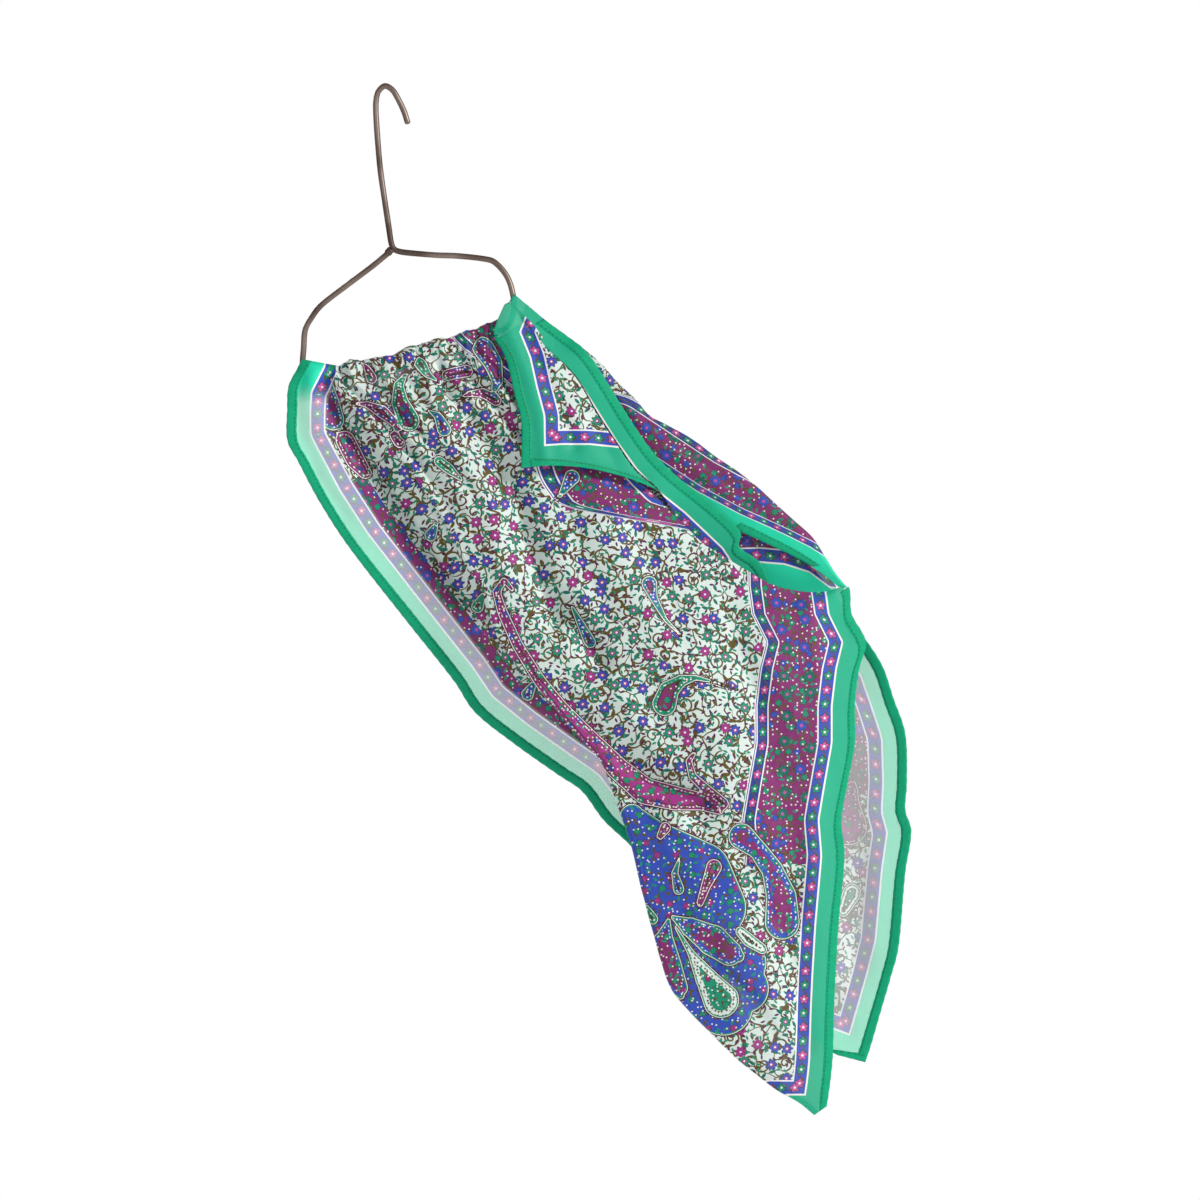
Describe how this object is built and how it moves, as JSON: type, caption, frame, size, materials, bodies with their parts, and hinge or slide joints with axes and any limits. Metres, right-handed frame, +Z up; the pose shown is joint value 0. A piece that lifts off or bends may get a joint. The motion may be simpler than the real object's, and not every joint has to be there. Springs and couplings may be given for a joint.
{
  "type": "silk square scarf on a wire hanger",
  "caption": "Printed silk voile square scarf draped over the bar of a hand-bent wire hanger, corners hanging at different heights, hanging from its hook.",
  "frame": {"origin": "under the crown of the hook, where the hanger rests on a rail", "axes": "+Z up, +X to the right as seen from the front, the front faces -Y, the hanger lies in the plane y = 0"},
  "size_m": [0.4238, 0.0699, 0.7003],
  "materials": {
    "wire": "dull drawn steel wire",
    "silk": "sheer printed silk voile, floral and paisley",
    "hem": "green turned hem"
  },
  "bodies": {
    "root": {"hook_shaft": "wire", "right_arm": "wire", "bottom_bar": "wire", "left_arm": "wire", "neck_weld": "wire", "bar_gather": "silk", "front_fall": "silk", "back_fall": "silk", "left_turn": "silk", "corner_flap": "silk", "side_border": "silk", "shoulder_turn": "silk", "border_tuck": "silk", "hem_front": "hem", "hem_back": "hem", "hem_under": "hem", "hem_left": "hem", "hem_flap_side": "hem", "hem_flap_bottom": "hem", "hem_side": "hem", "hem_shoulder": "hem"}
  },
  "joints": []
}
